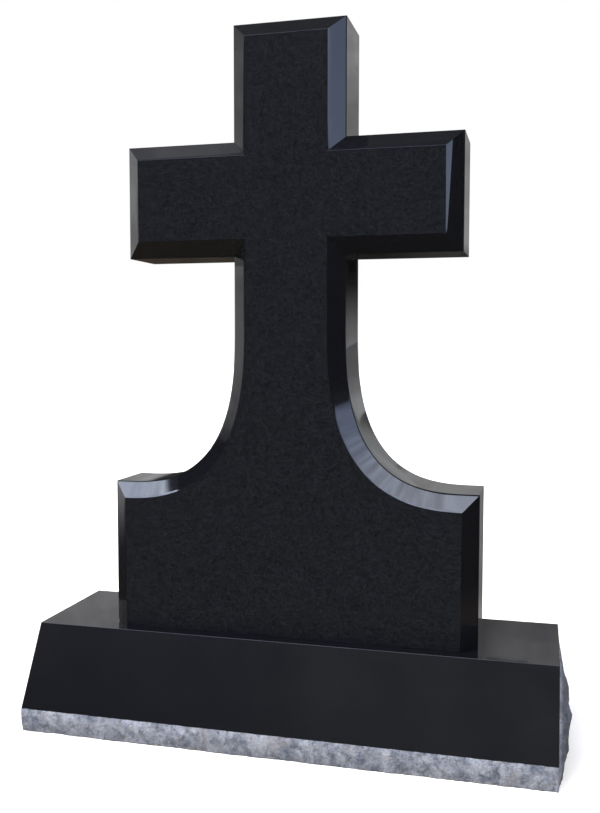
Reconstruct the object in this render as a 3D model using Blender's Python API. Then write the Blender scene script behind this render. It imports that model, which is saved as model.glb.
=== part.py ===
"""Cross headstone: a cross tablet of polished granite that stands on a base with a sloping front.

Metres, +Z up, the front towards -Y. The origin is the middle of the base's underside, taken over
its rock faces. The tablet's heights stack up from its foot, and the base is laid out from the
tablet by its ledges, so each size below can be changed by itself.
"""
import math

import bmesh
import bpy
from mathutils import Vector, noise

# Cross tablet, from its foot upwards
SHOULDER_WIDTH = 0.762
SHOULDER_HEIGHT = 0.303
SHOULDER_FLAT = 0.0175
FLARE_RISE = 0.331
FLARE_POWER = 2.77
FLARE_STEPS = 32
SHAFT_WIDTH = 0.231
SHAFT_BELOW_ARMS = 0.136
ARM_SPAN = 0.689
ARM_DEPTH = 0.228
HEAD_HEIGHT = 0.230
TABLET_THICKNESS = 0.154
BEVEL_WIDTH = 0.0315
BEVEL_DEPTH = 0.029
SETTING_GAP = 0.0003

# Base stone, around the tablet's foot
END_LEDGE = 0.1535
FRONT_LEDGE = 0.0275
BACK_LEDGE = 0.0865
BASE_HEIGHT = 0.204
FRONT_SLOPE_RUN = 0.0845
MARGIN_HEIGHT = 0.048
MARGIN_UNDERCUT = 0.007

# Rock-pitched faces: how far each stands out of the sawn outline, and how it was struck
END_RELIEF = 0.026
BACK_RELIEF = 0.026
MARGIN_RELIEF = 0.004
ARRIS_WAVER = 0.0012
ROCK_GRID = 0.0165
MARGIN_GRID = 0.012
SCALLOP_SIZE = 0.062
SWELL_SIZE = 0.150
BELLY_HEIGHT = 0.110
BELLY_ROUND = 0.85
FOOT_SHARE = 0.35
FRONT_RAMP = 0.5
CORNER_RUN = 0.100
CORNER_SHARE = 0.2
MARGIN_RUN = 0.007

# Derived sizes
FLARE_REACH = SHOULDER_WIDTH / 2 - SHOULDER_FLAT - SHAFT_WIDTH / 2
ARM_BOTTOM = SHOULDER_HEIGHT + FLARE_RISE + SHAFT_BELOW_ARMS
ARM_TOP = ARM_BOTTOM + ARM_DEPTH
TABLET_HEIGHT = ARM_TOP + HEAD_HEIGHT
BASE_LENGTH = SHOULDER_WIDTH + 2 * END_LEDGE
BASE_TOP_DEPTH = FRONT_LEDGE + TABLET_THICKNESS + BACK_LEDGE
BASE_DEPTH = MARGIN_RELIEF + FRONT_SLOPE_RUN + BASE_TOP_DEPTH + BACK_RELIEF
SLOPE_FOOT_Y = MARGIN_RELIEF - BASE_DEPTH / 2
SLOPE_HEAD_Y = SLOPE_FOOT_Y + FRONT_SLOPE_RUN
BACK_Y = SLOPE_HEAD_Y + BASE_TOP_DEPTH
TABLET_FRONT_Y = SLOPE_HEAD_Y + FRONT_LEDGE
TABLET_FOOT_Z = BASE_HEIGHT + SETTING_GAP

# Each rock face draws its scallops from its own part of the noise
LEFT_END = 1
RIGHT_END = 2
BACK = 3
MARGIN = 4


def clear_scene():
    """Removes what the file starts with."""
    for item in list(bpy.data.objects):
        bpy.data.objects.remove(item, do_unlink=True)


def granite(name, color, roughness):
    """A plain granite finish."""
    material = bpy.data.materials.new(name)
    material.use_nodes = True
    shader = material.node_tree.nodes["Principled BSDF"]
    shader.inputs["Base Color"].default_value = (*color, 1.0)
    shader.inputs["Roughness"].default_value = roughness
    shader.inputs["Metallic"].default_value = 0.0
    return material


def add_object(name, bm, material):
    """Turns a bmesh into a scene object with outward normals."""
    bmesh.ops.recalc_face_normals(bm, faces=bm.faces)
    mesh = bpy.data.meshes.new(name)
    bm.to_mesh(mesh)
    bm.free()
    mesh.materials.append(material)
    item = bpy.data.objects.new(name, mesh)
    bpy.context.scene.collection.objects.link(item)
    return item


def flare(inset):
    """The hollow curve from the shaft down to the shoulder, drawn in by an inset, as (x, z)."""
    corner = (SHOULDER_WIDTH / 2 - inset, SHOULDER_HEIGHT - inset)
    points = []
    for step in range(FLARE_STEPS + 1):
        turn = math.pi / 2 * (1 - step / FLARE_STEPS)
        beside = math.sin(turn) ** (2 / FLARE_POWER)
        above = max(0.0, math.cos(turn)) ** (2 / FLARE_POWER)
        inward = Vector((beside ** (FLARE_POWER - 1) / FLARE_REACH, above ** (FLARE_POWER - 1) / FLARE_RISE))
        inward = -inset * inward.normalized()
        x = SHAFT_WIDTH / 2 + FLARE_REACH * (1 - beside) + inward.x
        z = SHOULDER_HEIGHT + FLARE_RISE * (1 - above) + inward.y
        points.append((x, z) if x < corner[0] else corner)
    return points


def cross_outline(inset):
    """The tablet's outline drawn in by an inset, as (x, z), clockwise from the top right corner."""
    shaft, arm, shoulder = (width / 2 - inset for width in (SHAFT_WIDTH, ARM_SPAN, SHOULDER_WIDTH))
    right = [
        (shaft, TABLET_HEIGHT - inset),
        (shaft, ARM_TOP - inset),
        (arm, ARM_TOP - inset),
        (arm, ARM_BOTTOM + inset),
        (shaft, ARM_BOTTOM + inset),
    ]
    right += flare(inset)
    right += [(shoulder, SHOULDER_HEIGHT - inset), (shoulder, 0.0)]
    left = [(-x, z) for x, z in reversed(right)]
    return right + left


def outline_loop(bm, inset, y):
    """A loop of vertices along the outline. Points that fall together share one vertex."""
    loop = []
    for x, z in cross_outline(inset):
        place = Vector((x, y, TABLET_FOOT_Z + z))
        together = loop and (loop[-1].co - place).length < 1e-6
        loop.append(loop[-1] if together else bm.verts.new(place))
    return loop


def close_between(bm, first, second):
    """Faces between two loops, with triangles where a vertex is shared."""
    for index in range(len(first)):
        after = (index + 1) % len(first)
        corners = [first[index], first[after], second[after], second[index]]
        bm.faces.new(list(dict.fromkeys(corners)))


def make_tablet():
    """The cross: a slab along its outline, with a bevel up the sides and over the top of its front."""
    bm = bmesh.new()
    front_edge = outline_loop(bm, BEVEL_WIDTH, TABLET_FRONT_Y)
    bevel_edge = outline_loop(bm, 0.0, TABLET_FRONT_Y + BEVEL_DEPTH)
    back_edge = outline_loop(bm, 0.0, TABLET_FRONT_Y + TABLET_THICKNESS)
    close_between(bm, front_edge, bevel_edge)
    close_between(bm, bevel_edge, back_edge)
    bm.faces.new(list(dict.fromkeys(front_edge)))
    bm.faces.new(list(dict.fromkeys(back_edge)))
    tablet = add_object("cross_tablet", bm, granite("black_granite_polished", (0.014, 0.015, 0.018), 0.08))
    tablet.data.shade_smooth()
    tablet.data.set_sharp_from_angle(angle=math.radians(20))
    return tablet


def struck(along, up, face):
    """A struck rock surface, about 0.5 to 1.2: bowls with ridges between them, on a broad swell."""
    bowl = noise.voronoi(Vector((along / SCALLOP_SIZE, up / SCALLOP_SIZE, 7.3 * face)))[0][0]
    swell = noise.noise(Vector((along / SWELL_SIZE, up / SWELL_SIZE, 3.1 * face)))
    return 0.62 + 0.55 * bowl * bowl + 0.25 * swell


def smooth(share):
    """Smooth step from 0 to 1."""
    share = min(1.0, max(0.0, share))
    return share * share * (3 - 2 * share)


def waver(along, face):
    """How far a pitched arris strays from its line."""
    return ARRIS_WAVER * noise.noise(Vector((along / ROCK_GRID / 2, 5.7 * face, 0.4)))


def up_and_down(z):
    """A tall rock face's bulge, struck from both arrises: a belly that thins out above and below."""
    if z > BELLY_HEIGHT:
        return ((BASE_HEIGHT - z) / (BASE_HEIGHT - BELLY_HEIGHT)) ** BELLY_ROUND
    return FOOT_SHARE + (1 - FOOT_SHARE) * (z / BELLY_HEIGHT) ** BELLY_ROUND


def end_bulge(y, z, face):
    """Unscaled relief of an end. It starts from nothing behind the sloping front."""
    behind_front = y - front_y(z)
    before_back = BACK_Y - y
    front = min(1.0, behind_front * FRONT_RAMP / END_RELIEF)
    back = CORNER_SHARE + (1 - CORNER_SHARE) * smooth(before_back / CORNER_RUN)
    return up_and_down(z) * front * back * struck(y, z, face)


def back_bulge(x, z):
    """Unscaled relief of the back."""
    from_end = BASE_LENGTH / 2 - abs(x)
    corner = CORNER_SHARE + (1 - CORNER_SHARE) * smooth(from_end / CORNER_RUN)
    return up_and_down(z) * corner * struck(x, z, BACK)


def margin_bulge(x, z):
    """Unscaled relief of the strip along the foot of the front."""
    return (1 - math.exp(-(MARGIN_HEIGHT - z) / MARGIN_RUN)) * struck(x, z, MARGIN)


def front_y(z):
    """The sawn front at height z: the undercut strip, then the slope."""
    if z < MARGIN_HEIGHT:
        return SLOPE_FOOT_Y + MARGIN_UNDERCUT * (1 - z / MARGIN_HEIGHT)
    return SLOPE_FOOT_Y + FRONT_SLOPE_RUN * (z - MARGIN_HEIGHT) / (BASE_HEIGHT - MARGIN_HEIGHT)


def steps(length, grid):
    """How many grid steps divide a length."""
    return max(2, round(length / grid))


def spread(low, high, count):
    """Even values from low to high, both included."""
    return [low + (high - low) * index / count for index in range(count + 1)]


def scaled(table, limits):
    """Scales a table of unscaled relief until it first meets its row's limit somewhere."""
    scale = min(limit / max(row) for row, limit in zip(table, limits) if max(row) > 0)
    return [[value * scale for value in row] for row in table]


def base_levels():
    """Heights of the rings of points round the base, from the underside to the top."""
    margin = spread(0.0, MARGIN_HEIGHT, steps(MARGIN_HEIGHT, MARGIN_GRID))
    above = spread(MARGIN_HEIGHT, BASE_HEIGHT, steps(BASE_HEIGHT - MARGIN_HEIGHT, ROCK_GRID))
    return margin + above[1:], len(margin) - 1


def base_rings():
    """Rings of points round the base, one for each level: front, right end, back and left end."""
    levels, arris_level = base_levels()
    xs = spread(-BASE_LENGTH / 2, BASE_LENGTH / 2, steps(BASE_LENGTH, ROCK_GRID))
    depth_steps = steps(BACK_Y - SLOPE_FOOT_Y, ROCK_GRID)
    depths = [spread(front_y(z), BACK_Y, depth_steps) for z in levels]
    left = [[end_bulge(y, z, LEFT_END) for y in row] for row, z in zip(depths, levels)]
    right = [[end_bulge(y, z, RIGHT_END) for y in row] for row, z in zip(depths, levels)]
    left = scaled(left, [END_RELIEF] * len(levels))
    right = scaled(right, [END_RELIEF] * len(levels))
    back = [[back_bulge(x, z) for x in xs] for z in levels]
    back = scaled(back, [BACK_RELIEF] * len(levels))
    margin = [[margin_bulge(x, z) for x in xs] for z in levels[:arris_level]]
    margin = scaled(margin, [front_y(z) - SLOPE_FOOT_Y + MARGIN_RELIEF for z in levels[:arris_level]])
    slope_down = Vector((0, -FRONT_SLOPE_RUN, MARGIN_HEIGHT - BASE_HEIGHT)).normalized()
    rings = []
    for level, z in enumerate(levels):
        ys = depths[level]
        ring = []
        for index, x in enumerate(xs):
            point = Vector((x, ys[0], z))
            if level < arris_level:
                point.y -= margin[level][index]
            elif level == arris_level and 0 < index < len(xs) - 1:
                point += slope_down * waver(x, MARGIN)
            ring.append(point)
        for index, y in enumerate(ys[1:], 1):
            out = right[level][index] + waver(y + z, RIGHT_END)
            ring.append(Vector((BASE_LENGTH / 2 + out, y, z)))
        ring[-1].y += back[level][-1]
        for index in range(len(xs) - 2, -1, -1):
            out = back[level][index] + (waver(xs[index], BACK) if 0 < index else 0.0)
            ring.append(Vector((xs[index], BACK_Y + out, z)))
        ring[-1].x -= left[level][-1]
        for index in range(len(ys) - 2, 0, -1):
            out = left[level][index] + waver(ys[index] + z, LEFT_END)
            ring.append(Vector((-BASE_LENGTH / 2 - out, ys[index], z)))
        rings.append(ring)
    return rings, arris_level, xs


def make_base():
    """The base: rock faces woven between the rings, with flat faces for the rest."""
    bm = bmesh.new()
    rings, arris_level, xs = base_rings()
    last_level = len(rings) - 1
    last_column = len(xs) - 1
    woven = []
    for level, ring in enumerate(rings):
        row = []
        for index, point in enumerate(ring):
            on_slope = level > arris_level and 0 < index < last_column
            row.append(None if on_slope else bm.verts.new(point))
        woven.append(row)
    count = len(rings[0])
    for level in range(last_level):
        first = last_column if level >= arris_level else 0
        for index in range(first, count):
            after = (index + 1) % count
            bm.faces.new((woven[level][index], woven[level][after],
                          woven[level + 1][after], woven[level + 1][index]))
    right_edge = [woven[level][last_column] for level in range(arris_level + 1, last_level + 1)]
    left_edge = [woven[level][0] for level in range(last_level, arris_level, -1)]
    slope = woven[arris_level][:last_column + 1] + right_edge + left_edge
    top = [vert for vert in woven[last_level] if vert is not None]
    flat = [bm.faces.new(outline) for outline in (slope, top, list(reversed(woven[0])))]
    bmesh.ops.triangulate(bm, faces=flat, ngon_method="BEAUTY")
    return add_object("base", bm, granite("black_granite_rock_pitched", (0.016, 0.017, 0.020), 0.15))


clear_scene()
make_tablet()
make_base()
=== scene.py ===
"""Looks of the cross headstone: polished and satin black granite, rock-pitched pale faces, soft light.

Both stones are modelled again over their solids with the same sizes: the tablet gets eased arrises
and a smooth flare, and the base gets finely struck rock faces. Metres, the part's own frame.
"""
import bisect
import math

import bmesh
import bpy
from mathutils import Euler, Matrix, Vector, geometry, noise


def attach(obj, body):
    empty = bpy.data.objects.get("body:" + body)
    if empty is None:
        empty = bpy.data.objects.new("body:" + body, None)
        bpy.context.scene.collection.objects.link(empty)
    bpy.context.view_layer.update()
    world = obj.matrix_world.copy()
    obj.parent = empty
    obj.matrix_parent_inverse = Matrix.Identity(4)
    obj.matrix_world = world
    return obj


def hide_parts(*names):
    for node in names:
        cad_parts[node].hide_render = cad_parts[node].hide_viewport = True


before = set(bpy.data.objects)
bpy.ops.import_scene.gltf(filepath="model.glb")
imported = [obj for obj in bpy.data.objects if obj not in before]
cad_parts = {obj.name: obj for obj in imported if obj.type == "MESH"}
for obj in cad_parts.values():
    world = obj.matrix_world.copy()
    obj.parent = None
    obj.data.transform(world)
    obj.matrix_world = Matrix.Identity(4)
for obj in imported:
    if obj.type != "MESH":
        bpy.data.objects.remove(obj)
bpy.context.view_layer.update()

# Cross tablet, from its foot upwards, as in the part
SHOULDER_WIDTH = 0.762
SHOULDER_HEIGHT = 0.303
SHOULDER_FLAT = 0.0175
FLARE_RISE = 0.331
FLARE_POWER = 2.77
SHAFT_WIDTH = 0.231
SHAFT_BELOW_ARMS = 0.136
ARM_SPAN = 0.689
ARM_DEPTH = 0.228
HEAD_HEIGHT = 0.230
TABLET_THICKNESS = 0.154
BEVEL_WIDTH = 0.0315
BEVEL_DEPTH = 0.029
SETTING_GAP = 0.0003

# Base stone, as in the part
END_LEDGE = 0.1535
FRONT_LEDGE = 0.0275
BACK_LEDGE = 0.0865
BASE_HEIGHT = 0.204
FRONT_SLOPE_RUN = 0.0845
MARGIN_HEIGHT = 0.048
MARGIN_UNDERCUT = 0.007
END_RELIEF = 0.026
BACK_RELIEF = 0.026
MARGIN_RELIEF = 0.004
SCALLOP_SIZE = 0.062
SWELL_SIZE = 0.150
BELLY_HEIGHT = 0.110
BELLY_ROUND = 0.85
FOOT_SHARE = 0.35
FRONT_RAMP = 0.5
CORNER_RUN = 0.100
CORNER_SHARE = 0.2
MARGIN_RUN = 0.007
STRUCK_FLOOR = 0.62
BOWL_SHARE = 0.55
SWELL_SHARE = 0.25
BOWL_SEED = 7.3
SWELL_SEED = 3.1

# Derived sizes, as in the part
FLARE_REACH = SHOULDER_WIDTH / 2 - SHOULDER_FLAT - SHAFT_WIDTH / 2
ARM_BOTTOM = SHOULDER_HEIGHT + FLARE_RISE + SHAFT_BELOW_ARMS
ARM_TOP = ARM_BOTTOM + ARM_DEPTH
TABLET_HEIGHT = ARM_TOP + HEAD_HEIGHT
BASE_LENGTH = SHOULDER_WIDTH + 2 * END_LEDGE
BASE_TOP_DEPTH = FRONT_LEDGE + TABLET_THICKNESS + BACK_LEDGE
BASE_DEPTH = MARGIN_RELIEF + FRONT_SLOPE_RUN + BASE_TOP_DEPTH + BACK_RELIEF
SLOPE_FOOT_Y = MARGIN_RELIEF - BASE_DEPTH / 2
SLOPE_HEAD_Y = SLOPE_FOOT_Y + FRONT_SLOPE_RUN
BACK_Y = SLOPE_HEAD_Y + BASE_TOP_DEPTH
TABLET_FRONT_Y = SLOPE_HEAD_Y + FRONT_LEDGE
TABLET_FOOT_Z = BASE_HEIGHT + SETTING_GAP

# The tablet's finish: eased arrises, and bevels that the polisher rolled over towards their edges.
# TURNED_SHARE of a rolled width is turned by the full angle, and the rest eases back to the bevel.
FLARE_STEPS = 400
SWEEP_STEP = 0.006
NORMAL_REACH = 0.001
BEVEL_GRID = 0.0015
ARRIS_EASE = 0.0003
INNER_EASE = 0.0001
SHARP_ANGLE = 9.0
OUTER_ROLL = math.radians(4.0)
OUTER_WIDTH = 0.0025
TURNED_SHARE = 0.6
FOOT_CHIP = 0.006
# The rolled inner edge at each corner of the outline, from the right foot to the left foot: width, degrees
ROLLED = [
    (0.004, 2.0), (0.003, 2.0), (0.003, 2.0), (0.0032, 3.0), (0.018, 3.0), (0.003, 2.0), (0.002, 2.0),
    (0.002, 2.0), (0.009, 2.0), (0.004, 2.0), (0.009, 2.0), (0.006, 2.0), (0.004, 2.0), (0.030, 2.0)]

# The base's finish, finer than the solid's, and above the belly struck a little flatter than it
BASE_EASE = 0.0004
ROCK_GRID = 0.0030
PITCH_ROUND = 1.35
ARRIS_WAVER = 0.0007
WAVER_SIZE = 0.00825
WAVER_SEED = 5.7
WAVER_SLICE = 0.4
CHIP_SIZE = 0.021
CHIP_DEPTH = 0.0022
CHIP_NARROWING = 1.3
CHIP_FADE = 0.004
CHIP_SEED = 2.9
CRUMB_SIZE = 0.007
CRUMB_DEPTH = 0.0007
CRUMB_MEAN = 0.8
CRUMB_FRACTAL = (1.0, 2.0, 3)
CRUMB_SEED = 1.7
INSIDE_BOX = 0.0006

# The base's struck faces, each with its own stretch of noise
LEFT_END = 1
RIGHT_END = 2
BACK = 3
MARGIN = 4

# Coordinates by their index, and the slot of the material beside a stone's polish
Y_INDEX = 1
Z_INDEX = 2
OTHER_SLOT = 1

# How a flat cap is filled: only inside its outline, with points closer than this taken as one
FILL_INSIDE = 1
FILL_TOLERANCE = 1e-7

# Camera, fitted to the stone's corners in the photograph
CAMERA_PLACE = (0.4954, -1.8592, 0.7966)
CAMERA_TURN = (86.204, -0.042, 14.631)
CAMERA_LENS = 41.305
SENSOR_WIDTH = 36.0

# Broad soft light from the front, a little from the left
SUN_STRENGTH = 3.0
SUN_SPREAD = 50.0
SUN_COLOR = (1.0, 0.97, 0.92)
SUN_TURN = (44.0, 0.0, -45.0)

# Each noise in the looks is its size in metres, its detail and its roughness.
# A range is the two values of a noise between which one look gives way to the other.
CLOUD_RANGE = (0.30, 0.70)

# Polished granite: its grain, between its darkest and lightest colours, and the faint waves of its polish
POLISHED_GRAIN = (0.0022, 2.0, 0.6)
POLISHED_GRAIN_RANGE = (0.45, 0.72)
POLISHED_COLORS = ((0.0040, 0.0041, 0.0047), (0.0066, 0.0067, 0.0076))
POLISHED_ROUGHNESS = 0.045
POLISHED_IOR = 1.55
WAVES = (0.09, 1.0, 0.4)
WAVE_DEPTH = 0.00025

# Satin granite on the front: crystals of two sizes, and clouds that lighten or darken it
FINE_CRYSTAL_SIZE = 0.0032
COARSE_CRYSTAL_SIZE = 0.0060
COARSE_SHARE = 0.40
SATIN_COLORS = ((0.0038, 0.0043, 0.0052), (0.0106, 0.0112, 0.0124))
SATIN_CLOUDS = (0.020, 3.0, 0.6)
SATIN_CLOUD_DEPTH = 0.05
SATIN_ROUGHNESS = 0.22
SATIN_IOR = 1.5

# Rock: patches, flakes on them, grains, dark pits and rusty areas, each with its noise and its colours
PATCHES = (0.060, 4.0, 0.6)
PATCH_RANGE = (0.40, 0.57)
PATCH_COLORS = ((0.070, 0.082, 0.105), (0.244, 0.251, 0.265))
FLAKES = (0.020, 3.0, 0.55)
FLAKE_RANGE = (0.37, 0.62)
FLAKE_COLORS = ((0.058, 0.069, 0.089), (0.262, 0.267, 0.278))
FLAKE_SHARE = 0.55
ROCK_GRAIN_SIZE = 0.0035
ROCK_GRAIN_COLORS = ((0.060, 0.067, 0.082), (0.280, 0.280, 0.285))
ROCK_GRAIN_SHARE = 0.24
PITS = (0.0110, 2.0, 0.5)
PIT_RANGE = (0.55, 0.70)
PIT_COLOR = (0.050, 0.058, 0.072)
PIT_SHARE = 0.58
RUST = (0.060, 2.0, 0.5)
RUST_RANGE = (0.56, 0.68)
RUST_COLOR = (0.200, 0.178, 0.165)
RUST_SHARE = 0.35
ROCK_STRETCH = (1.1, 1.0, 0.95)
ROCK_TURN = (0.0, 0.9, 0.0)
ROCK_ROUGHNESS = 0.82
ROCK_IOR = 1.5
ROCK_BUMPS = (0.016, 4.0, 0.6)
ROCK_BUMP_DEPTH = 0.018

# How light the rock is at the ground and from LIT_HEIGHT up: painted shade towards the ground, painted
# light above.
# The right end gets painted shade past its plane, most round PAINTED_SHADE_HEIGHT and less away from it.
LIT_HEIGHT = 0.047
GROUND_PAINTED_SHADE = 0.86
FULL_LIGHTNESS = 1.30
PAINTED_SHADE_START = (0.0010, 0.0075)
PAINTED_SHADE_HEIGHT = 0.105
PAINTED_SHADE_REACH = (0.025, 0.070)
PAINTED_SHADE_AT_BELLY = 0.80
PAINTED_SHADE_AWAY = 0.58

# Pale floor
FLOOR_HALF = 30.0
FLOOR_COLOR = (0.95, 0.88, 0.77)
FLOOR_ROUGHNESS = 0.9
FLOOR_GLOW_COLOR = (1.0, 0.94, 0.83)
FLOOR_GLOW = 0.40


def flare():
    """The hollow curve from the shoulder up to the shaft, as (x, z)."""
    points = []
    for step in range(FLARE_STEPS + 1):
        turn = math.pi / 2 * step / FLARE_STEPS
        across = 1 - math.sin(turn) ** (2 / FLARE_POWER)
        up = 1 - max(0.0, math.cos(turn)) ** (2 / FLARE_POWER)
        points.append((SHAFT_WIDTH / 2 + FLARE_REACH * across, SHOULDER_HEIGHT + FLARE_RISE * up))
    return points


def outline_sides():
    """The outline's sides from the right foot over the head to the left foot.

    Each is a list of (x, z) and how its two ends move when it is drawn in: 1 shortens, -1 lengthens.
    """
    shaft, arm, shoulder = SHAFT_WIDTH / 2, ARM_SPAN / 2, SHOULDER_WIDTH / 2
    right = [
        ([(shoulder, 0.0), (shoulder, SHOULDER_HEIGHT)], 0, 1),
        ([(shoulder, SHOULDER_HEIGHT)] + flare() + [(shaft, ARM_BOTTOM)], 1, -1),
        ([(shaft, ARM_BOTTOM), (arm, ARM_BOTTOM)], -1, 1),
        ([(arm, ARM_BOTTOM), (arm, ARM_TOP)], 1, 1),
        ([(arm, ARM_TOP), (shaft, ARM_TOP)], 1, -1),
        ([(shaft, ARM_TOP), (shaft, TABLET_HEIGHT)], -1, 1),
    ]
    head = ([(shaft, TABLET_HEIGHT), (-shaft, TABLET_HEIGHT)], 1, 1)
    left = [([(-x, z) for x, z in reversed(side)], end, start) for side, start, end in reversed(right)]
    return right + [head] + left


class Side:
    """One side of the outline, which can be drawn in and sampled evenly."""

    def __init__(self, points, start, end):
        self.points = [Vector(point) for point in points]
        self.start, self.end = start, end
        self.lengths = [0.0]
        for before, after in zip(self.points, self.points[1:]):
            self.lengths.append(self.lengths[-1] + (after - before).length)
        self.count = math.ceil(self.lengths[-1] / SWEEP_STEP)

    def at(self, length):
        """The point at a length along the side, which runs straight on past its ends."""
        step = min(len(self.points) - 2, max(0, bisect.bisect_right(self.lengths, length) - 1))
        low, high = self.lengths[step], self.lengths[step + 1]
        return self.points[step].lerp(self.points[step + 1], (length - low) / (high - low))

    def drawn_in(self, index, inset):
        """The point at a step of the side, drawn in by an inset square to the side."""
        low, high = self.start * inset, self.lengths[-1] - self.end * inset
        length = low + (high - low) * index / self.count
        along = self.at(length + NORMAL_REACH) - self.at(length - NORMAL_REACH)
        return self.at(length) + inset * Vector((-along.y, along.x)).normalized()


def rolled_depth(from_arris, width, angle):
    """How far a polished bevel has been rolled down near an arris, in metres."""
    if from_arris >= width:
        return 0.0
    turned = TURNED_SHARE * width
    if from_arris < turned:
        return math.tan(angle) * (turned - from_arris + 0.5 * (width - turned))
    left = (width - from_arris) / (width - turned)
    return math.tan(angle) * 0.5 * (width - turned) * left * left


def section(start, end, share):
    """The tablet's section from its back to its front, as (inset, distance behind the front).

    Its rolled inner edge is a share of the way between two corners' (width, degrees).
    """
    rolled = start[0] + (end[0] - start[0]) * share
    roll = math.radians(start[1] + (end[1] - start[1]) * share)
    slant = math.hypot(BEVEL_WIDTH, BEVEL_DEPTH)
    points = [(ARRIS_EASE, TABLET_THICKNESS)]
    points.append((0.0, TABLET_THICKNESS - ARRIS_EASE))
    points.append((0.0, BEVEL_DEPTH + ARRIS_EASE))
    for along in spread(ARRIS_EASE, slant - ARRIS_EASE, BEVEL_GRID):
        down = rolled_depth(slant - along, rolled, roll) + rolled_depth(along, OUTER_WIDTH, OUTER_ROLL)
        across = along / slant
        inset = BEVEL_WIDTH * across + down * BEVEL_DEPTH / slant
        behind = BEVEL_DEPTH * (1 - across) + down * BEVEL_WIDTH / slant
        points.append((inset, behind))
    inset, behind = points[-1]
    steepness = math.atan2(BEVEL_DEPTH, BEVEL_WIDTH) - roll
    inset += (behind - INNER_EASE) / math.tan(steepness)
    points.append((inset, INNER_EASE))
    points.append((inset + INNER_EASE / math.tan(0.5 * steepness), 0.0))
    return points


def link_piece(name, bm, materials):
    """Turns a bmesh into a piece of the stone."""
    mesh = bpy.data.meshes.new(name)
    bm.to_mesh(mesh)
    bm.free()
    for material in materials:
        mesh.materials.append(material)
    piece = bpy.data.objects.new(name, mesh)
    bpy.context.scene.collection.objects.link(piece)
    return piece


def swept_rows(bm):
    """Rows of vertices across the tablet's section, all along the outline, and which are at corners."""
    rows, corners = [], [0]
    for points, start, end in outline_sides():
        side = Side(points, start, end)
        ends = ROLLED[len(corners) - 1], ROLLED[len(corners)]
        for index in range(1 if rows else 0, side.count + 1):
            row = []
            for inset, behind in section(*ends, index / side.count):
                x, z = side.drawn_in(index, inset)
                row.append(bm.verts.new((x, TABLET_FRONT_Y + behind, TABLET_FOOT_Z + z)))
            rows.append(row)
        corners.append(len(rows) - 1)
    return rows, corners


def fill(bm, loop, second):
    """Fills a flat loop with triangles, laid out by its x and its coordinate at the second index."""
    points = [Vector((vert.co.x, vert.co[second])) for vert in loop]
    outline = list(range(len(loop)))
    filled = geometry.delaunay_2d_cdt(points, [], [outline], FILL_INSIDE, FILL_TOLERANCE)
    triangles, sources = filled[2], filled[3]
    return [bm.faces.new([loop[sources[corner][0]] for corner in triangle]) for triangle in triangles]


def make_tablet(polished, satin):
    """The cross: its section is swept round the outline, with flat caps at the front, back and foot."""
    bm = bmesh.new()
    rows, corners = swept_rows(bm)
    for before, after in zip(rows, rows[1:]):
        for index in range(len(before) - 1):
            face = bm.faces.new((before[index], before[index + 1], after[index + 1], after[index]))
            face.smooth = True
    for index in corners:
        for low, high in zip(rows[index], rows[index][1:]):
            bm.edges.get((low, high)).smooth = False
    for face in fill(bm, [row[-1] for row in rows], Z_INDEX):
        face.material_index = OTHER_SLOT
    fill(bm, [row[0] for row in rows], Z_INDEX)
    fill(bm, rows[-1] + rows[0][::-1], Y_INDEX)
    chip_foot(rows[-1])
    bmesh.ops.recalc_face_normals(bm, faces=bm.faces)
    for edge in bm.edges:
        if edge.calc_face_angle(0.0) > math.radians(SHARP_ANGLE):
            edge.smooth = False
    return link_piece("cross_tablet_finish", bm, [polished, satin])


def chip_foot(row):
    """Knocks a small chip off the foot's left front corner."""
    for vert in row:
        away = math.hypot(vert.co.x + SHOULDER_WIDTH / 2, vert.co.y - TABLET_FRONT_Y - BEVEL_DEPTH)
        vert.co.z += FOOT_CHIP * max(0.0, 1 - away / FOOT_CHIP)


def struck(along, up, face):
    """A struck rock surface, about 0.5 to 1.2: bowls with ridges between them, on a broad swell."""
    bowl = noise.voronoi(Vector((along / SCALLOP_SIZE, up / SCALLOP_SIZE, BOWL_SEED * face)))[0][0]
    swell = noise.noise(Vector((along / SWELL_SIZE, up / SWELL_SIZE, SWELL_SEED * face)))
    return STRUCK_FLOOR + BOWL_SHARE * bowl * bowl + SWELL_SHARE * swell


def chipped(along, up, face):
    """How deep small chips and crumbs go into a struck surface, in metres."""
    chip = noise.voronoi(Vector((along / CHIP_SIZE, up / CHIP_SIZE, CHIP_SEED * face)))[0][0]
    crumb_place = Vector((along / CRUMB_SIZE, up / CRUMB_SIZE, CRUMB_SEED * face))
    crumb = noise.fractal(crumb_place, *CRUMB_FRACTAL)
    bowl = 1 - min(1.0, chip * CHIP_NARROWING) ** 2
    return CHIP_DEPTH * bowl + CRUMB_DEPTH * (CRUMB_MEAN + crumb)


def smooth(share):
    """Smooth step from 0 to 1."""
    share = min(1.0, max(0.0, share))
    return share * share * (3 - 2 * share)


def waver(along, face):
    """How far a pitched arris strays from its line."""
    return ARRIS_WAVER * noise.noise(Vector((along / WAVER_SIZE, WAVER_SEED * face, WAVER_SLICE)))


def up_and_down(z):
    """A tall rock face's bulge, struck from both arrises: a belly that thins out above and below."""
    if z > BELLY_HEIGHT:
        return ((BASE_HEIGHT - z) / (BASE_HEIGHT - BELLY_HEIGHT)) ** PITCH_ROUND
    return FOOT_SHARE + (1 - FOOT_SHARE) * (z / BELLY_HEIGHT) ** BELLY_ROUND


def end_bulge(y, z, face):
    """Unscaled relief of an end. It starts from nothing behind the sloping front."""
    front = min(1.0, max(0.0, y - front_y(z)) * FRONT_RAMP / END_RELIEF)
    back = CORNER_SHARE + (1 - CORNER_SHARE) * smooth((BACK_Y - y) / CORNER_RUN)
    return up_and_down(z) * front * back * struck(y, z, face)


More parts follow.
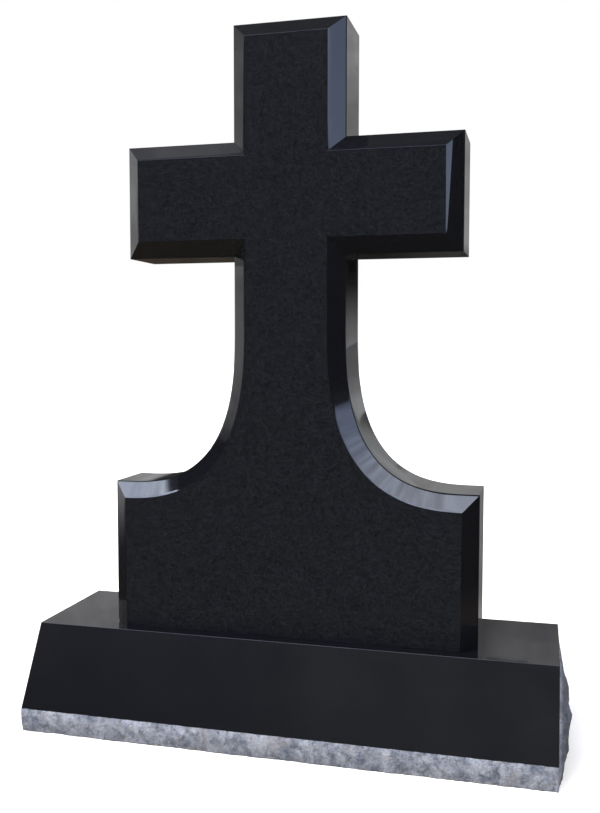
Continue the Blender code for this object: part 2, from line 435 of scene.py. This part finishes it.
def back_bulge(x, z):
    """Unscaled relief of the back."""
    corner = CORNER_SHARE + (1 - CORNER_SHARE) * smooth((BASE_LENGTH / 2 - abs(x)) / CORNER_RUN)
    return up_and_down(z) * corner * struck(x, z, BACK)


def margin_bulge(x, z):
    """Unscaled relief of the strip along the foot of the front."""
    return (1 - math.exp(-(MARGIN_HEIGHT - z) / MARGIN_RUN)) * struck(x, z, MARGIN)


def front_y(z):
    """The sawn front at height z: the undercut strip, then the slope."""
    if z < MARGIN_HEIGHT:
        return SLOPE_FOOT_Y + MARGIN_UNDERCUT * (1 - z / MARGIN_HEIGHT)
    return SLOPE_FOOT_Y + FRONT_SLOPE_RUN * (z - MARGIN_HEIGHT) / (BASE_HEIGHT - MARGIN_HEIGHT)


def spread(low, high, grid):
    """Even values from low to high, both included, about a grid step apart."""
    count = max(2, round((high - low) / grid))
    return [low + (high - low) * index / count for index in range(count + 1)]


def scaled(table, limits):
    """Scales a table of unscaled relief until it first meets its row's limit somewhere."""
    scale = min(limit / max(row) for row, limit in zip(table, limits) if max(row) > 0)
    return [[value * scale for value in row] for row in table]


def rock_table(table, along, levels, face, limits):
    """Scaled relief with the small chips cut into it. They fade out where the relief is thin."""
    table = scaled(table, limits)
    for row, z, places in zip(table, levels, along):
        for index, place in enumerate(places):
            depth = chipped(place, z, face)
            row[index] -= depth * smooth(row[index] / CHIP_FADE)
    return table


def end_table(levels, depths, face):
    """Scaled relief of an end, a row for each level."""
    table = [[end_bulge(y, z, face) for y in row] for row, z in zip(depths, levels)]
    return rock_table(table, depths, levels, face, [END_RELIEF - INSIDE_BOX] * len(levels))


def back_table(levels, xs):
    """Scaled relief of the back, a row for each level."""
    table = [[back_bulge(x, z) for x in xs] for z in levels]
    return rock_table(table, [xs] * len(levels), levels, BACK, [BACK_RELIEF - INSIDE_BOX] * len(levels))


def margin_table(levels, xs):
    """Scaled relief of the strip along the foot of the front, a row for each level."""
    table = [[margin_bulge(x, z) for x in xs] for z in levels]
    limits = [front_y(z) - SLOPE_FOOT_Y + MARGIN_RELIEF - INSIDE_BOX / 2 for z in levels]
    return rock_table(table, [xs] * len(levels), levels, MARGIN, limits)


def strip_points(xs, y, z, bulges):
    """The points of the strip along the foot of the front at one level, from left to right."""
    points = [Vector((x, y, z)) for x in xs]
    for point, bulge in zip(points, bulges):
        point.y -= bulge
    return points


def slope_points(xs, y, z, wavers):
    """The sloping front's points at one level, from left to right. At its foot they waver along it."""
    slope_down = Vector((0, -FRONT_SLOPE_RUN, MARGIN_HEIGHT - BASE_HEIGHT)).normalized()
    points = [Vector((x, y, z)) for x in xs]
    if wavers:
        for point in points[1:-1]:
            point += slope_down * waver(point.x, MARGIN)
    return points


def end_points(ys, z, side, bulges, face):
    """The points of an end at one level, from front to back; side is 1 on the right and -1 on the left."""
    points = []
    for y, bulge in zip(ys, bulges):
        out = bulge + waver(y + z, face)
        points.append(Vector((side * (BASE_LENGTH / 2 + out), y, z)))
    return points


def back_points(xs, z, bulges):
    """The back's points at one level, from left to right. Its left corner doesn't waver."""
    points = [Vector((xs[0], BACK_Y + bulges[0], z))]
    for x, bulge in zip(xs[1:], bulges[1:]):
        out = bulge + waver(x, BACK)
        points.append(Vector((x, BACK_Y + out, z)))
    return points


def base_rings():
    """Rings of points round the base, one for each level: front, right end, back and left end."""
    margin_levels = spread(0.0, MARGIN_HEIGHT, ROCK_GRID)
    levels = margin_levels + spread(MARGIN_HEIGHT, BASE_HEIGHT, ROCK_GRID)[1:]
    arris_level = len(margin_levels) - 1
    xs = spread(-BASE_LENGTH / 2, BASE_LENGTH / 2, ROCK_GRID)
    depth_steps = range(round((BACK_Y - SLOPE_FOOT_Y) / ROCK_GRID) + 1)
    depths = []
    for z in levels:
        start = front_y(z)
        depths.append([start + (BACK_Y - start) * index / depth_steps[-1] for index in depth_steps])
    left = end_table(levels, depths, LEFT_END)
    right = end_table(levels, depths, RIGHT_END)
    back = back_table(levels, xs)
    margin = margin_table(levels[:arris_level], xs)
    rings = []
    for level, z in enumerate(levels):
        ys = depths[level]
        if level < arris_level:
            front_side = strip_points(xs, ys[0], z, margin[level])
        else:
            front_side = slope_points(xs, ys[0], z, level == arris_level)
        right_side = end_points(ys, z, 1, right[level], RIGHT_END)[1:]
        right_side[-1].y += back[level][-1]
        back_side = back_points(xs, z, back[level])[:-1]
        back_side[0].x -= left[level][-1]
        left_side = end_points(ys, z, -1, left[level], LEFT_END)[1:-1]
        rings.append(front_side + right_side + back_side[::-1] + left_side[::-1])
    return rings, arris_level, len(xs) - 1


def make_base(polished, rock):
    """The base: finely struck rock faces, and flat polished faces on the slope and top."""
    bm = bmesh.new()
    rings, arris_level, last_column = base_rings()
    last_level = len(rings) - 1
    woven = []
    for level, ring in enumerate(rings):
        row = []
        for index, point in enumerate(ring):
            on_slope = level > arris_level and 0 < index < last_column
            row.append(None if on_slope else bm.verts.new(point))
        woven.append(row)
    count = len(rings[0])
    for level in range(last_level):
        first = last_column if level >= arris_level else 0
        for index in range(first, count):
            after = (index + 1) % count
            face = bm.faces.new((
                woven[level][index], woven[level][after], woven[level + 1][after], woven[level + 1][index]))
            face.material_index = OTHER_SLOT
    underside = bm.faces.new(woven[0][::-1])
    underside.material_index = OTHER_SLOT
    right_edge = [woven[level][last_column] for level in range(arris_level + 1, last_level + 1)]
    left_edge = [woven[level][0] for level in range(last_level, arris_level, -1)]
    slope = bm.faces.new(woven[arris_level][:last_column + 1] + right_edge + left_edge)
    top = bm.faces.new([vert for vert in woven[last_level] if vert is not None])
    top_arris = [edge for edge in slope.edges if edge in top.edges[:]]
    bmesh.ops.bevel(
        bm, geom=top_arris, offset=BASE_EASE, offset_type="OFFSET", segments=2, profile=0.5,
        affect="EDGES", clamp_overlap=True)
    wide = [face for face in bm.faces if len(face.verts) > 4]
    bmesh.ops.triangulate(bm, faces=wide, ngon_method="BEAUTY")
    bmesh.ops.recalc_face_normals(bm, faces=bm.faces)
    for face in bm.faces:
        face.smooth = face.material_index == OTHER_SLOT
    for edge in bm.edges:
        kinds = {face.material_index for face in edge.link_faces}
        edge.smooth = len(kinds) == 1
    return link_piece("base_finish", bm, [polished, rock])


def add_node(tree, kind, inputs=None, **settings):
    """Adds a node; inputs maps sockets to values or to other nodes' outputs."""
    node = tree.nodes.new(kind)
    for name, value in settings.items():
        setattr(node, name, value)
    for socket, value in (inputs or {}).items():
        if isinstance(value, bpy.types.NodeSocket):
            tree.links.new(value, node.inputs[socket])
        else:
            node.inputs[socket].default_value = value
    return node


def mix_colors(tree, share, first, second):
    """A colour between two colours, by a share from 0 to 1. Either is a plain colour or an output."""
    first, second = [(*color, 1) if isinstance(color, tuple) else color for color in (first, second)]
    node = add_node(tree, "ShaderNodeMix", {0: share, 6: first, 7: second}, data_type="RGBA")
    return node.outputs[2]


def ramp(tree, value, low, high, to_low=0.0, to_high=1.0):
    """Maps low..high smoothly onto to_low..to_high."""
    node = add_node(
        tree, "ShaderNodeMapRange", {0: value, 1: low, 2: high, 3: to_low, 4: to_high},
        interpolation_type="SMOOTHSTEP")
    return node.outputs[0]


def blobs(tree, place, size, detail, roughness):
    """Noise about as coarse as size, in metres."""
    inputs = {"Vector": place, "Scale": 1 / size, "Detail": detail, "Roughness": roughness}
    return add_node(tree, "ShaderNodeTexNoise", inputs).outputs["Fac"]


def crystals(tree, place, size):
    """A random value from 0 to 1 for each crystal of about a size, in metres."""
    node = add_node(tree, "ShaderNodeTexVoronoi", {"Vector": place, "Scale": 1 / size})
    return add_node(tree, "ShaderNodeSeparateColor", {0: node.outputs["Color"]}).outputs[0]


def math_node(tree, operation, first, second=0.0, third=0.0):
    """One step of arithmetic."""
    return add_node(tree, "ShaderNodeMath", {0: first, 1: second, 2: third}, operation=operation).outputs[0]


def scaled_color(tree, color, factor):
    """A colour made brighter or darker."""
    return add_node(tree, "ShaderNodeVectorMath", {0: color, "Scale": factor}, operation="SCALE").outputs[0]


def color_ramp(tree, place, stops, span):
    """A colour ramp over 0 to span. Each stop is its place and its colour."""
    node = add_node(tree, "ShaderNodeValToRGB", {0: place})
    marks = node.color_ramp.elements
    for index, (position, color) in enumerate(stops):
        mark = marks[index] if index < 2 else marks.new(position / span)
        mark.position = position / span
        mark.color = (*color, 1)
    return node.outputs[0]


def rough_normal(tree, shader, height, distance):
    """Bumps a shader's surface by a height of 0 to 1, over a distance in metres."""
    bump = add_node(tree, "ShaderNodeBump", {"Strength": 1.0, "Distance": distance, "Height": height})
    tree.links.new(bump.outputs[0], shader.inputs["Normal"])


def new_material(name):
    """A material with an empty Principled shader and object coordinates, in metres."""
    material = bpy.data.materials.new(name)
    material.use_nodes = True
    tree = material.node_tree
    shader = tree.nodes["Principled BSDF"]
    place = add_node(tree, "ShaderNodeTexCoord").outputs["Object"]
    return material, tree, shader, place


def polished_granite():
    """Near-black fine-grained granite with a mirror polish and the faint waves a polisher leaves."""
    material, tree, shader, place = new_material("black_granite_polished")
    grain = ramp(tree, blobs(tree, place, *POLISHED_GRAIN), *POLISHED_GRAIN_RANGE)
    tree.links.new(mix_colors(tree, grain, *POLISHED_COLORS), shader.inputs["Base Color"])
    shader.inputs["Roughness"].default_value = POLISHED_ROUGHNESS
    shader.inputs["IOR"].default_value = POLISHED_IOR
    rough_normal(tree, shader, blobs(tree, place, *WAVES), WAVE_DEPTH)
    return material


def satin_granite():
    """The front's finer finish: the same granite with its grain showing as a fine speckle."""
    material, tree, shader, place = new_material("black_granite_satin")
    fine = math_node(tree, "MULTIPLY", crystals(tree, place, FINE_CRYSTAL_SIZE), 1 - COARSE_SHARE)
    flecks = math_node(tree, "MULTIPLY_ADD", crystals(tree, place, COARSE_CRYSTAL_SIZE), COARSE_SHARE, fine)
    clouds = blobs(tree, place, *SATIN_CLOUDS)
    lightness = ramp(tree, clouds, *CLOUD_RANGE, 1 - SATIN_CLOUD_DEPTH, 1 + SATIN_CLOUD_DEPTH)
    color = scaled_color(tree, mix_colors(tree, flecks, *SATIN_COLORS), lightness)
    tree.links.new(color, shader.inputs["Base Color"])
    shader.inputs["Roughness"].default_value = SATIN_ROUGHNESS
    shader.inputs["IOR"].default_value = SATIN_IOR
    return material


def mottled_color(tree, place, streaks):
    """The colour of broken stone: patches and flakes on them, with grains, dark pits and rusty areas."""
    patches = ramp(tree, blobs(tree, streaks, *PATCHES), *PATCH_RANGE)
    flakes = ramp(tree, blobs(tree, streaks, *FLAKES), *FLAKE_RANGE)
    ground = mix_colors(tree, patches, *PATCH_COLORS)
    color = mix_colors(tree, FLAKE_SHARE, ground, mix_colors(tree, flakes, *FLAKE_COLORS))
    grains = mix_colors(tree, crystals(tree, place, ROCK_GRAIN_SIZE), *ROCK_GRAIN_COLORS)
    color = mix_colors(tree, ROCK_GRAIN_SHARE, color, grains)
    pits = ramp(tree, blobs(tree, streaks, *PITS), *PIT_RANGE, 0.0, PIT_SHARE)
    color = mix_colors(tree, pits, color, PIT_COLOR)
    rusty = ramp(tree, blobs(tree, place, *RUST), *RUST_RANGE, 0.0, RUST_SHARE)
    return mix_colors(tree, rusty, color, RUST_COLOR)


def rock_painted_shading(tree, place):
    """How light the rock is by its place: painted shade at the ground and on the right end round its belly.
    """
    parts = add_node(tree, "ShaderNodeSeparateXYZ", {0: place}).outputs
    # painted shade towards the ground, painted light up to LIT_HEIGHT
    painted_shading_by_height = ramp(tree, parts["Z"], 0.0, LIT_HEIGHT, GROUND_PAINTED_SHADE, FULL_LIGHTNESS)
    # painted shade on the right end past its plane, deepest round its belly
    shaded_right_end = ramp(tree, parts["X"], *(BASE_LENGTH / 2 + past for past in PAINTED_SHADE_START))
    from_belly = math_node(tree, "ABSOLUTE", math_node(tree, "SUBTRACT", parts["Z"], PAINTED_SHADE_HEIGHT))
    depth = ramp(tree, from_belly, *PAINTED_SHADE_REACH, PAINTED_SHADE_AT_BELLY, PAINTED_SHADE_AWAY)
    return math_node(tree, "SUBTRACT", painted_shading_by_height, math_node(tree, "MULTIPLY", shaded_right_end, depth))


def rock_granite():
    """The pitched faces: the same stone broken open, pale and bluish, mottled and rough."""
    material, tree, shader, place = new_material("granite_rock_pitched")
    inputs = {"Vector": place, "Rotation": ROCK_TURN, "Scale": ROCK_STRETCH}
    streaks = add_node(tree, "ShaderNodeMapping", inputs).outputs[0]
    # the mottled colour, scaled by the painted light and shade
    color = scaled_color(tree, mottled_color(tree, place, streaks), rock_painted_shading(tree, place))
    tree.links.new(color, shader.inputs["Base Color"])
    shader.inputs["Roughness"].default_value = ROCK_ROUGHNESS
    shader.inputs["IOR"].default_value = ROCK_IOR
    rough_normal(tree, shader, blobs(tree, streaks, *ROCK_BUMPS), ROCK_BUMP_DEPTH)
    return material


def floor_material():
    """Plain pale floor."""
    material, _, shader, _ = new_material("pale_floor")
    shader.inputs["Base Color"].default_value = (*FLOOR_COLOR, 1)
    shader.inputs["Roughness"].default_value = FLOOR_ROUGHNESS
    shader.inputs["Emission Color"].default_value = (*FLOOR_GLOW_COLOR, 1)
    shader.inputs["Emission Strength"].default_value = FLOOR_GLOW
    return material


def make_floor():
    """A wide pale floor that the polished faces don't mirror."""
    bm = bmesh.new()
    bmesh.ops.create_grid(bm, x_segments=1, y_segments=1, size=FLOOR_HALF)
    floor = link_piece("floor", bm, [floor_material()])
    floor.visible_glossy = False


# The surroundings: a dark room, one long overhead light in front of the stone, and dim soft cards.
HALF_TURN = 180.0
# The overhead light runs from left to right: angle up from the front horizon in degrees, colour
OVERHEAD = [
    (0.0, (0.010, 0.010, 0.011)),
    (28.0, (0.050, 0.050, 0.055)),
    (33.0, (0.110, 0.110, 0.125)),
    (38.3, (0.140, 0.145, 0.175)),
    (39.8, (1.60, 1.92, 2.80)),
    (46.0, (2.30, 2.75, 4.00)),
    (54.5, (2.75, 3.20, 4.65)),
    (62.0, (3.30, 3.80, 5.20)),
    (70.5, (4.30, 4.82, 6.20)),
    (76.0, (4.60, 5.05, 6.05)),
    (86.0, (4.80, 5.20, 6.20)),
]
# How the overhead light's near edge slants and how much it dims, both per unit of the direction's x
NEAR_EDGE_SLANT = 0.14
DIMMING = 0.35
# What is overhead and behind, past the overhead light's back edge, in the same form
ROOF = [
    (60.0, (0.030, 0.030, 0.034)),
    (76.0, (0.10, 0.12, 0.16)),
    (84.0, (0.13, 0.15, 0.19)),
    (95.0, (0.14, 0.14, 0.15)),
    (150.0, (0.04, 0.04, 0.04)),
    (180.0, (0.05, 0.05, 0.05)),
]
# The overhead light's back edge in the direction's y: where it is, how it slants on the left, its softness
BACK_EDGE = -0.236
BACK_EDGE_SLANT = -0.185
BACK_EDGE_SOFT = 0.010
# The ground near by and far off, and the directions' z over which one blends into the other and the sky
GROUND_NEAR = (0.016, 0.016, 0.015)
GROUND_FAR = (0.022, 0.020, 0.018)
NEAR_GROUND = (-0.75, -0.30)
HORIZON = (-0.10, 0.02)
# What the camera sees in place of the surroundings
SEEN_COLOR = (1.0, 1.0, 1.0)
# Soft unevenness of all the surroundings: its noise, with the size in radians, and its depth
CLOUDS = (0.060, 3.0, 0.7)
CLOUD_DEPTH = 0.25
# Each card: azimuth, elevation, half width, half height, softness in degrees, colour
CARDS = [
    # Behind the stone, for its level tops and the sides that face right
    (-24.0, 12.0, 21.0, 8.5, 2.0, (0.47, 0.47, 0.48)),
    (2.5, 13.0, 6.5, 7.5, 0.8, (0.34, 0.34, 0.345)),
    (13.0, 14.5, 4.5, 6.0, 0.8, (0.34, 0.34, 0.345)),
    (-4.5, 9.0, 4.0, 2.5, 1.2, (0.50, 0.50, 0.50)),
    (11.5, 17.5, 5.0, 2.5, 1.5, (0.49, 0.49, 0.50)),
    (-1.0, 15.2, 5.0, 2.0, 1.0, (0.25, 0.25, 0.26)),
    (-5.2, 17.2, 2.2, 3.2, 1.6, (0.16, 0.16, 0.165)),
    (1.5, 10.9, 2.3, 1.5, 0.5, (0.48, 0.485, 0.49)),
    # Behind and below, for the undersides of the arms and the right shoulder's side
    (5.0, -17.0, 12.0, 10.0, 3.0, (0.182, 0.182, 0.18)),
    (3.5, -16.4, 4.0, 1.3, 0.8, (0.265, 0.265, 0.262)),
    (-22.0, -6.0, 8.0, 4.0, 1.5, (0.056, 0.045, 0.034)),
    # Low on the right, for the foot of the right bevel
    (99.0, -16.6, 7.0, 1.6, 1.0, (0.135, 0.105, 0.078)),
    # On the left, for the upright bevels on that side and, dark, for the hollow of the left flare
    (-62.5, 3.9, 15.5, 13.6, 3.0, (0.80, 0.80, 0.82)),
    (-62.5, 15.5, 15.5, 4.0, 1.5, (0.52, 0.52, 0.54)),
    (-68.0, 7.0, 5.0, 5.0, 2.0, (0.93, 0.93, 0.95)),
    (-89.0, 28.0, 9.0, 16.0, 0.8, (0.008, 0.011, 0.018)),
    # High on the left, in front, and low on the left
    (-71.0, 67.0, 4.5, 5.0, 2.0, (0.55, 0.55, 0.60)),
    (-176.0, 35.5, 11.0, 4.0, 4.0, (0.23, 0.23, 0.24)),
    (-110.0, -62.0, 9.0, 8.0, 3.0, (0.095, 0.080, 0.040)),
]
# Upright cards of light that stand in the room: their corners, and the light by height.
# The first three stand behind the stone, for the shaft's lower and upper right side and the right flare;
# the last stands on the right, for the bevel at the right arm's end.
UPRIGHT_CARDS = [
    ([(0.240, 0.800, 0.6850), (0.306, 0.800, 0.6885), (0.306, 0.800, 0.788), (0.240, 0.800, 0.818)], [
        (0.685, (0.55, 0.56, 0.57)), (0.695, (0.64, 0.65, 0.66)), (0.703, (0.545, 0.555, 0.57)),
        (0.712, (0.38, 0.38, 0.39)), (0.729, (0.33, 0.33, 0.34)), (0.740, (0.242, 0.242, 0.250)),
        (0.765, (0.212, 0.212, 0.217)), (0.785, (0.222, 0.222, 0.227)), (0.800, (0.185, 0.187, 0.200))]),
    ([(0.675, 3.000, 0.760), (0.765, 3.000, 0.760), (0.765, 3.000, 1.300), (0.675, 3.000, 1.300)], [
        (0.821, (0.41, 0.415, 0.435)), (0.853, (0.31, 0.31, 0.315)), (0.896, (0.275, 0.275, 0.28)),
        (0.938, (0.213, 0.213, 0.216)), (0.981, (0.152, 0.152, 0.154)), (1.023, (0.110, 0.110, 0.107)),
        (1.065, (0.060, 0.060, 0.057)), (1.109, (0.025, 0.025, 0.021)), (1.151, (0.012, 0.012, 0.008)),
        (1.193, (0.005, 0.005, 0.003))]),
    ([(0.320, 1.400, 0.707), (0.460, 1.400, 0.707), (0.460, 1.400, 0.794), (0.320, 1.400, 0.794)], [
        (0.712, (0.065, 0.063, 0.066)), (0.716, (0.095, 0.093, 0.097)), (0.7195, (0.175, 0.175, 0.179)),
        (0.725, (0.300, 0.302, 0.302)), (0.731, (0.385, 0.395, 0.395)), (0.738, (0.45, 0.45, 0.46)),
        (0.746, (0.416, 0.44, 0.45)), (0.768, (0.48, 0.50, 0.50)), (0.790, (0.46, 0.47, 0.48))]),
    ([(3.300, -1.095, 1.400), (3.300, -0.800, 1.400), (3.300, -0.800, 2.700), (3.300, -1.095, 2.700)], [
        (1.400, (1.75, 2.05, 2.90)), (1.700, (1.75, 2.08, 3.00)), (1.950, (1.35, 1.65, 2.50)),
        (2.450, (1.18, 1.45, 2.25))]),
]
# The heights that an upright card's colour ramp spans
CARD_SPAN = 3.0
# A card fades in while a direction's part towards it goes from the first of these to the second
CARD_FADE = (0.01, 0.05)


def along_axis(tree, direction, axis):
    """How far a direction goes along an axis."""
    node = add_node(tree, "ShaderNodeVectorMath", {0: direction, 1: axis}, operation="DOT_PRODUCT")
    return node.outputs["Value"]


def card(tree, direction, color_below, azimuth, elevation, half_width, half_height, soft, color):
    """Lays a soft-edged card of light over the surroundings. Angles in degrees, azimuth from +Y to +X."""
    turn, rise = math.radians(azimuth), math.radians(elevation)
    ahead = Vector((math.sin(turn) * math.cos(rise), math.cos(turn) * math.cos(rise), math.sin(rise)))
    right = Vector((math.cos(turn), -math.sin(turn), 0))
    over = right.cross(ahead)
    toward = along_axis(tree, direction, ahead)
    share = ramp(tree, toward, *CARD_FADE)
    for axis, half in ((right, half_width), (over, half_height)):
        angle = math_node(tree, "ARCTAN2", along_axis(tree, direction, axis), toward)
        away = math_node(tree, "ABSOLUTE", angle)
        inside = ramp(tree, away, math.radians(half - soft), math.radians(half + soft), 1.0, 0.0)
        share = math_node(tree, "MULTIPLY", share, inside)
    return mix_colors(tree, share, color_below, color)


def sky(tree, parts):
    """The overhead light in front of the stone and the roof behind it, for a direction's parts."""
    forward = math_node(tree, "MULTIPLY", parts["Y"], -1.0)
    slant = math_node(tree, "MULTIPLY", parts["X"], NEAR_EDGE_SLANT)
    angle = math_node(tree, "ADD", math_node(tree, "ARCTAN2", parts["Z"], forward), slant)
    place = math_node(tree, "DIVIDE", angle, math.pi)
    dimmed = math_node(tree, "MULTIPLY_ADD", parts["X"], -DIMMING, 1.0)
    overhead = scaled_color(tree, color_ramp(tree, place, OVERHEAD, HALF_TURN), dimmed)
    on_left = math_node(tree, "MINIMUM", parts["X"], 0.0)
    edge = math_node(tree, "MULTIPLY_ADD", on_left, BACK_EDGE_SLANT, BACK_EDGE)
    behind = math_node(tree, "SUBTRACT", parts["Y"], edge)
    in_front = ramp(tree, behind, -BACK_EDGE_SOFT, BACK_EDGE_SOFT, 1.0, 0.0)
    return mix_colors(tree, in_front, color_ramp(tree, place, ROOF, HALF_TURN), overhead)


def surroundings(tree, direction):
    """What the polish mirrors in a direction: sky, ground and cards, all a little uneven."""
    parts = add_node(tree, "ShaderNodeSeparateXYZ", {0: direction}).outputs
    near = ramp(tree, parts["Z"], *NEAR_GROUND, 1.0, 0.0)
    ground = mix_colors(tree, near, GROUND_FAR, GROUND_NEAR)
    color = mix_colors(tree, ramp(tree, parts["Z"], *HORIZON), ground, sky(tree, parts))
    for azimuth, elevation, half_width, half_height, soft, light in CARDS:
        color = card(tree, direction, color, azimuth, elevation, half_width, half_height, soft, light)
    clouds = blobs(tree, direction, *CLOUDS)
    return scaled_color(tree, color, ramp(tree, clouds, *CLOUD_RANGE, 1 - CLOUD_DEPTH, 1 + CLOUD_DEPTH))


def make_world():
    """Soft surroundings for light and reflections; the camera itself sees plain white."""
    world = bpy.data.worlds.new("soft_studio")
    world.use_nodes = True
    tree = world.node_tree
    tree.nodes.clear()
    color = surroundings(tree, add_node(tree, "ShaderNodeTexCoord").outputs["Generated"])
    seen = add_node(tree, "ShaderNodeLightPath").outputs["Is Camera Ray"]
    color = mix_colors(tree, seen, color, SEEN_COLOR)
    background = add_node(tree, "ShaderNodeBackground", {"Color": color})
    add_node(tree, "ShaderNodeOutputWorld", {"Surface": background.outputs[0]})
    bpy.context.scene.world = world


def card_material(lights):
    """Plain light that changes with height."""
    material = bpy.data.materials.new("light_card")
    material.use_nodes = True
    tree = material.node_tree
    tree.nodes.clear()
    place = add_node(tree, "ShaderNodeTexCoord").outputs["Object"]
    height = add_node(tree, "ShaderNodeSeparateXYZ", {0: place}).outputs["Z"]
    color = color_ramp(tree, math_node(tree, "DIVIDE", height, CARD_SPAN), lights, CARD_SPAN)
    glow = add_node(tree, "ShaderNodeEmission", {"Color": color})
    add_node(tree, "ShaderNodeOutputMaterial", {"Surface": glow.outputs[0]})
    return material


def make_cards():
    """Upright cards of light that only the polish mirrors."""
    for corners, lights in UPRIGHT_CARDS:
        bm = bmesh.new()
        bm.faces.new([bm.verts.new(corner) for corner in corners])
        shown = link_piece("light_card", bm, [card_material(lights)])
        shown.visible_camera = False
        shown.visible_diffuse = False
        shown.visible_shadow = False


def make_sun():
    """Broad soft light from the front and above that the polish doesn't mirror."""
    data = bpy.data.lights.new("soft_sun", "SUN")
    data.energy = SUN_STRENGTH
    data.angle = math.radians(SUN_SPREAD)
    data.color = SUN_COLOR
    sun = bpy.data.objects.new("soft_sun", data)
    sun.rotation_euler = Euler([math.radians(angle) for angle in SUN_TURN])
    sun.visible_glossy = False
    bpy.context.scene.collection.objects.link(sun)


def make_camera():
    """The photograph's point of view."""
    data = bpy.data.cameras.new("camera")
    data.lens = CAMERA_LENS
    data.sensor_width = SENSOR_WIDTH
    camera = bpy.data.objects.new("camera", data)
    camera.location = CAMERA_PLACE
    camera.rotation_euler = Euler([math.radians(angle) for angle in CAMERA_TURN])
    bpy.context.scene.collection.objects.link(camera)
    bpy.context.scene.camera = camera


bpy.context.scene.view_settings.view_transform = "Standard"
polished = polished_granite()
tablet = make_tablet(polished, satin_granite())
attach(tablet, "root")
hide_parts("cross_tablet")
base = make_base(polished, rock_granite())
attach(base, "root")
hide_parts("base")
make_floor()
make_world()
make_cards()
make_sun()
make_camera()
